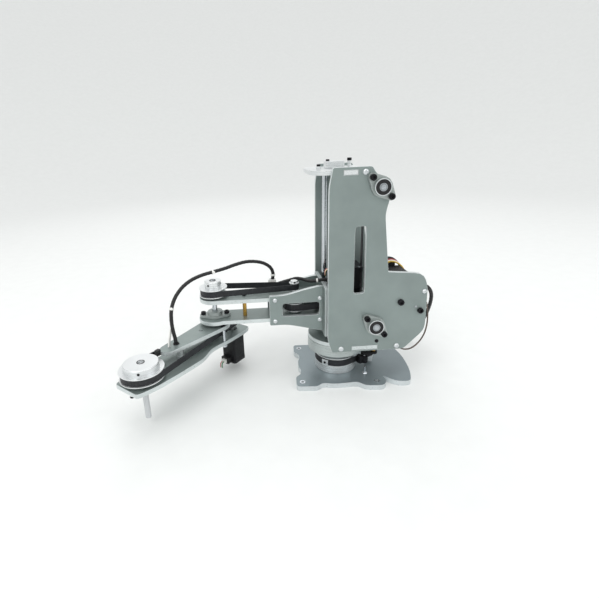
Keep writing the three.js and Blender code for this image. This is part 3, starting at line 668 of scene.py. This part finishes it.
def mirrored_bearing(name, node, depth=1.0):
    """The same bearing on the far plate, its depth scaled from the plate's face outwards."""
    mesh = NODES[node].data.copy()
    kept_face = Matrix.Translation(Y * ((depth - 1) * (HALF_OUT + PIECE_GAP) * MM))
    mesh.transform(kept_face @ Matrix.Scale(-depth, 4, Y))
    mesh.flip_normals()
    piece = bpy.data.objects.new(name, mesh)
    bpy.context.scene.collection.objects.link(piece)
    for old in NODES[node].modifiers:
        new = piece.modifiers.new(old.name, old.type)
        for key in ("merge_threshold", "decimate_type", "angle_limit", "width", "segments", "limit_method"):
            if hasattr(old, key):
                setattr(new, key, getattr(old, key))
    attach(piece, "column")


def bearing_face(piece, at, axis):
    """Races, seal and turned shaft end in a flange bearing's open face; materials silver, seal, steel."""
    piece.washer(10.3, 11.2, -0.4, 0.35, at, axis, mat=0)
    piece.washer(5.3, 10.3, -0.4, 0.15, at, axis, mat=1)
    piece.washer(4.35, 5.3, -0.4, 0.6, at, axis, mat=2)
    rings = [(3.9, 0.35), (3.9, 0.7), (3.3, 0.95), (2.4, 0.95), (2.2, 0.75), (1.2, 0.75), (1.0, 0.55)]
    piece.lathe([(0, 0.35), *rings, (0, 0.55)], at, axis, mat=2)


def make_bearings():
    mirrored_bearing("far_lower_lift_bearing", "lower_lift_bearing", 0.9)
    mirrored_bearing("far_upper_lift_bearing", "upper_lift_bearing")
    face = HALF_OUT + 9.3
    races = Piece("column_bearing_races", silver_y, seal, steel_y)
    for z in LIFT_Z:
        bearing_face(races, (LIFT_X, face, z), Y)
    bearing_face(races, (LIFT_X, -face, LIFT_Z[1]), -Y)
    races.washer(4.35, 10.3, -1.3, -0.7, (LIFT_X, -face, LIFT_Z[0]), -Y, mat=1)
    races.done("column", "steel", 0.1)
    bolts = Piece("column_bearing_bolts", black_metal)
    reach = 18.3 * math.cos(math.pi / 4)
    for z in LIFT_Z:
        for side in (1, -1):
            for end in (1, -1):
                at = (LIFT_X + end * reach, side * (HALF_OUT + 4.3), z + end * reach)
                bolts.cap_screw(at, Y * side, 4.4, 4.4)
    bolts.done("column", "black", 0.25)

    caps = Piece("elbow_bearing_bolts", black_metal)
    for end in (1, -1):
        caps.cap_screw((ELBOW_X + end * 18.3, 0, 110.8), Z, 4.0, 4.2)
    caps.done("carriage", "black", 0.25)
    top = Piece("elbow_upper_bearing", cast, silver, seal)
    top.washer(5.0, 9.5, 140.1, 141.9, (ELBOW_X, 0, 0), Z, mat=0)
    top.washer(4.5, 7.2, 141.9, 142.4, (ELBOW_X, 0, 0), Z, mat=1)
    top.done("carriage", "bearing", 0.2)


make_bearings()


# ---- screws and small fittings on the column ----


def column_fittings():
    bright = Piece("column_plate_screws", silver_y)
    for side in (1, -1):
        for x, z in ((-24, 322), (4, 65), (-80, 65)):
            bright.button_screw((x, side * HALF_OUT, z), Y * side, 4.0, 2.2)
        bright.button_screw((-116, side * HALF_OUT, 150), Y * side, 3.4, 1.9)
    bright.done("column", "steel", 0.15)

    dark = Piece("column_bar_screws", black_metal, steel_y)
    for side in (1, -1):
        for x, z, r in ((-82, 135.5, 4.6), (-111.8, 120.8, 4.2)):
            dark.cap_screw((x, side * HALF_OUT, z), Y * side, r, 4.0)
        slotted = [(0, 1.0), (2.6, 1.0), (2.9, 0.6), (2.9, 0), (0, 0)]
        dark.lathe(slotted, (-49.4, side * HALF_OUT, 75), Y * side)
        dark.lathe([(0, 0.5), (1.5, 0.5), (1.5, 0), (0, 0)], (-105, side * HALF_OUT, 127), Y * side, mat=1)
    dark.done("column", "black", 0.25)

    post = Piece("lift_motor_post", silver_y)
    post.lathe([(0, -8.4), (4, -8.4), (4, 48.7), (0, 48.7)], (-82, 0, 135.5), Y)
    post.done("column", "aluminium", 0.4)

    hexes = Piece("idler_standoff", brass)
    hexes.lathe([(0, 40), (3.0, 40, 6), (3.0, 61.7, 6), (0, 61.7)], (-57, 21, 0), steps=24)
    hexes.done("column", "brass", 0.2)

    idler = Piece("idler_fittings", black_metal, steel)
    for x, y in ((-57, 21), (-41.84, 22.57)):
        idler.lathe([(0, -2.6), (1.6, -2.6, 6), (1.6, -0.0, 6), (0, 0)], (x, y, 35.8), mat=1)
        idler.cap_screw((x, y, 35.9), -Z, 2.9, 2.9, mat=1)
    idler.prism(rounded_box(3.0, 4.2, 0.8), 22.5, 35.7, (-33.5, 25.5, 0), ref=(0.8, 0.5, 0))
    idler.done("column", "black", 0.2)


def column_top():
    heads = Piece("column_top_screws", black_metal, silver)
    heads.lathe([(0, 325.1), (3.7, 325.1), (3.7, 328.4), (0, 328.4)], (29, 5, 0), mat=1)
    heads.cap_screw((29, 5, 328.4), Z, 2.7, 3.1)
    heads.cap_screw((15, 0, 335.0), Z, 2.6, 2.5)
    heads.done("column", "black", 0.25)
    post = Piece("top_post_screw", black_metal, silver)
    post.lathe([(0, 325.3), (2.7, 325.3), (2.7, 334.6), (0, 334.6)], (-17, -3, 0), mat=1)
    post.cap_screw((-17, -3, 334.6), Z, 3.3, 3.8)
    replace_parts(post.done("column", "aluminium", 0.25), "top_post")


column_fittings()
column_top()


# ---- arm ----


def arm_fittings():
    bright = Piece("arm_cheek_screws", silver_y)
    for side in (1, -1):
        face = side * (21.7 + 0.3 + 6.0)
        for x, z in ((98.6, 138), (30.7, 138), (99, 104), (30.6, 103)):
            bright.button_screw((x, face, z), Y * side, 3.4, 1.9)
    bright.done("carriage", "steel", 0.15)

    clip = Piece("arm_cable_clip", white_plastic, steel)
    clip.prism(rounded_box(6.2, 3.6, 0.9), 146.4, 154.1, (98.5, -25, 0))
    clip.prism(rounded_box(3.2, 3.2, 0.6), 145.1, 146.4, (96.5, -25, 0))
    clip.washer(2.9, 3.7, -1.4, 1.4, (96.7, -25.2, 161.5), Z)
    clip.button_screw((101.4, -25, 154.1), Z, 1.8, 1.0, mat=1)
    clip.done("carriage", "white_plastic", 0.25)

    lead = Piece("arm_lead", sleeve, white_plastic)
    run = [(93.5, -17.5, 147.5), (84, -17, 150.5), (72, -15.5, 154), (61, -12, 157.5), (52, -4, 158.5),
           (46, 4, 158.5), (40, 10, 159.5), (32, 13, 161), (24, 14, 162), (15, 14, 160.5), (8, 14, 157)]
    lead.tube(even(spline(run), 1.0), 2.6, 14, 0, 6.0, 0.35)
    lead.washer(2.6, 3.3, -1.2, 1.2, (32, 13, 161), Vector((-16, 4, 2.5)), mat=1)
    lead.done("carriage", "cable", 0)

    heads = Piece("arm_plate_screws", black_metal, steel)
    heads.cap_screw((144.5, 4, 140.1), Z, 2.9, 2.8)
    heads.cap_screw((144.5, 4, 100.4), -Z, 2.9, 2.8)
    for y in (-15.5, 15.5):
        for x in (-30.5, 0.5):
            heads.cap_screw((x, y, 133.9), -Z, 2.8, 2.8, mat=1)
    heads.done("carriage", "steel", 0.2)

    grips = Piece("middle_pulley_screws", black_metal)
    grips.lathe([(0, 0.4), (1.5, 0.4, 6), (1.5, -1, 6), (0, -1)], (66, 5.5, 156.6), Y)
    grips.done("middle_shaft", "black", 0)


def ties():
    """White ties round the arm cable, each riding with the stretch that it holds."""
    places = (
        ("arm_cable_tie_a", (190, 0, 179.4), "carriage"),
        ("arm_cable_tie_b", (247.6, 53, 144.5), "forearm"),
    )
    for name, near, body in places:
        tie = Piece(name, white_plastic)
        index = min(range(len(cable_line)), key=lambda i: (cable_line[i] - Vector(near)).length)
        here = cable_line[index]
        ahead = (cable_line[index + 1] - cable_line[index - 1]).normalized()
        tie.washer(CABLE_D / 2, CABLE_D / 2 + 0.7, -1.3, 1.3, here, ahead)
        u = axes(ahead, Y)[0]
        tie.prism(rounded_box(2.0, 1.5, 0.3), -1.8, 1.8, here + u * (CABLE_D / 2 + 1.4), ahead, u)
        tie.done(body, "white_plastic", 0.15)


arm_fittings()
ties()


# ---- forearm and wrist ----


def forearm_fittings():
    posts = Piece("forearm_posts", steel, white_plastic, black_metal)
    for w in (-19.3, 19.3):
        foot = forearm_point(4.5, w, 0)
        posts.lathe([(0, 70.1), (2.8, 70.1), (2.8, 88.9), (0, 88.9)], foot)
        posts.lathe([(0, 63.9), (3.6, 63.9, 6), (3.6, 60.6, 6), (0, 60.6)], foot, mat=0)
        posts.cap_screw(forearm_point(4.5, w, 95.1), Z, 3.2, 3.0, mat=2)
    foot = forearm_point(167.5, 5, 0)
    posts.lathe([(0, 63.9), (2.8, 63.9), (2.8, 60.2), (0, 60.2)], foot, mat=1)
    posts.lathe([(0, 60.3), (3.1, 60.3), (3.1, 57.8), (0, 57.8)], foot, mat=2)
    posts.done("forearm", "steel", 0.25)

    item = Piece("forearm_grommet", black_plastic)
    item.washer(2.9, 4.4, 94.9, 96.6, forearm_point(83.2, 0, 0), Z)
    item.prism(rounded_box(3.4, 3.0, 0.9), 89.0, 97.0, forearm_point(112, -6, 0), Z, U_AXIS)
    item.done("forearm", "black", 0.3)

    wire = Piece("forearm_grey_wire", grey_wire, white_plastic)
    foot = forearm_point(94, -1.5, 95.1)
    line = [foot.lerp(Vector((248.4, 59, 124)), 0.86), foot.lerp(Vector((250.2, 63, 118)), 0.5), foot]
    wire.tube(even(spline(line), 1.0), 1.1, 10)
    wire.tube(even(spline([p + forearm_offset(2.3) for p in line]), 1.0), 0.9, 10, 1)
    wire.done("forearm", "white_plastic", 0)

    marks = Piece("wrist_hub_screws", black_metal, steel)
    for turn in (math.radians(95), math.radians(215)):
        out = Vector((math.cos(turn), math.sin(turn), 0))
        at = forearm_point(REACH, 0, 91.8) + out * 23.7
        marks.lathe([(0, 0.25), (1.8, 0.25), (1.8, -1.5), (0, -1.5)], at, out, Z)
    marks.washer(4.4, 5.4, 96.3, 96.75, forearm_point(REACH, 0, 0), Z)
    marks.done("wrist", "black", 0)

    hub = Piece("elbow_hub_screws", black_metal)
    for turn in (math.radians(60), math.radians(180)):
        out = Vector((math.cos(turn), math.sin(turn), 0))
        screw = [(0, 0.25), (1.6, 0.25), (1.6, -1.5), (0, -1.5)]
        hub.lathe(screw, Vector((ELBOW_X, 0, 161)) + out * 12.5, out, Z)
    hub.washer(4.3, 5.2, 165.8, 166.2, (ELBOW_X, 0, 0), Z)
    hub.done("forearm", "black", 0)


forearm_fittings()


# ---- base ----


def base_fittings():
    screws = Piece("base_foot_screws", black_metal, steel)
    for x in (-57, 57):
        for y in (-53, 53):
            screws.washer(2.35, 4.3, 7.9, 8.35, base_point(x, y, 0), Z, mat=1)
    screws.done("base", "steel", 0.15)

    clamp = Piece("ring_belt_clamp", silver, black_metal)
    turn = math.radians(50)
    out = Vector((math.cos(turn), math.sin(turn), 0))
    clamp.prism([(-5, -4.6), (5, -4.6), (5, 4.6), (-5, 4.6)], 33.1, 34.9, Z * 27.0, out, Z.cross(out))
    clamp.cap_screw(out * 34.9 + Z * 27.0, out, 1.9, 1.4, mat=1)
    clamp.done("base", "aluminium", 0.3)

    cone = Piece("base_cone_foot", steel)
    cone.lathe([(0, 8.05), (4.2, 8.05), (3.9, 8.9), (1.7, 10.6), (1.6, 19.5), (0, 20)], (-40, 34, 0))
    cone.done("base", "steel", 0.2)


base_fittings()


# ---- floor and light ----


def make_stage():
    profile = [(0.0, 0.0), (2.4, 0.0)]
    for k in range(1, 9):
        a = math.radians(42) * k / 8
        profile.append((2.4 + 1.8 * math.sin(a), 1.8 - 1.8 * math.cos(a)))
    profile.append((profile[-1][0] + 3.0, profile[-1][1] + 2.7))
    bm = bmesh.new()
    rows = []
    for r, h in profile:
        if r == 0.0:
            rows.append([bm.verts.new((0, 0, h - 0.0001))])
            continue
        turn = [2 * math.pi * i / 64 for i in range(64)]
        rows.append([bm.verts.new((r * math.cos(a), r * math.sin(a), h - 0.0001)) for a in turn])
    for low, high in zip(rows, rows[1:]):
        for i in range(64):
            j = (i + 1) % 64
            bm.faces.new((low[0], high[i], high[j]) if len(low) == 1 else (low[i], high[i], high[j], low[j]))
    mesh = bpy.data.meshes.new("floor")
    bm.to_mesh(mesh)
    bm.free()
    for face in mesh.polygons:
        face.use_smooth = True
    mesh.materials.append(material("floor_paper", (232, 234, 233), 0.75, grain=400.0, bump=0.04, tint=0.015))
    floor = bpy.data.objects.new("floor", mesh)
    bpy.context.scene.collection.objects.link(floor)


def area_light(name, at, aim, size, power, colour=(1, 1, 1)):
    data = bpy.data.lights.new(name, "AREA")
    data.shape = "DISK"
    data.size = size
    data.energy = power
    data.color = colour
    light = bpy.data.objects.new(name, data)
    bpy.context.scene.collection.objects.link(light)
    light.location = at
    light.rotation_euler = (Vector(aim) - Vector(at)).to_track_quat("-Z", "Y").to_euler()


def make_lights():
    world = bpy.data.worlds.new("world")
    world.use_nodes = True
    world.node_tree.nodes["Background"].inputs["Color"].default_value = (1.0, 1.0, 1.0, 1.0)
    world.node_tree.nodes["Background"].inputs["Strength"].default_value = 0.93
    bpy.context.scene.world = world
    middle = (0.05, 0.0, 0.15)
    area_light("key", (1.1, 1.3, 1.7), middle, 1.4, 11.0, (1.0, 0.99, 0.98))
    area_light("fill", (-1.5, 0.9, 1.2), middle, 1.6, 6.0, (0.97, 0.98, 1.0))
    area_light("back", (0.2, -1.6, 1.6), middle, 1.4, 4.0)
    area_light("top", (0.1, 0.1, 2.2), middle, 1.8, 8.0)
    bpy.context.scene.view_settings.view_transform = "Standard"


make_stage()
make_lights()
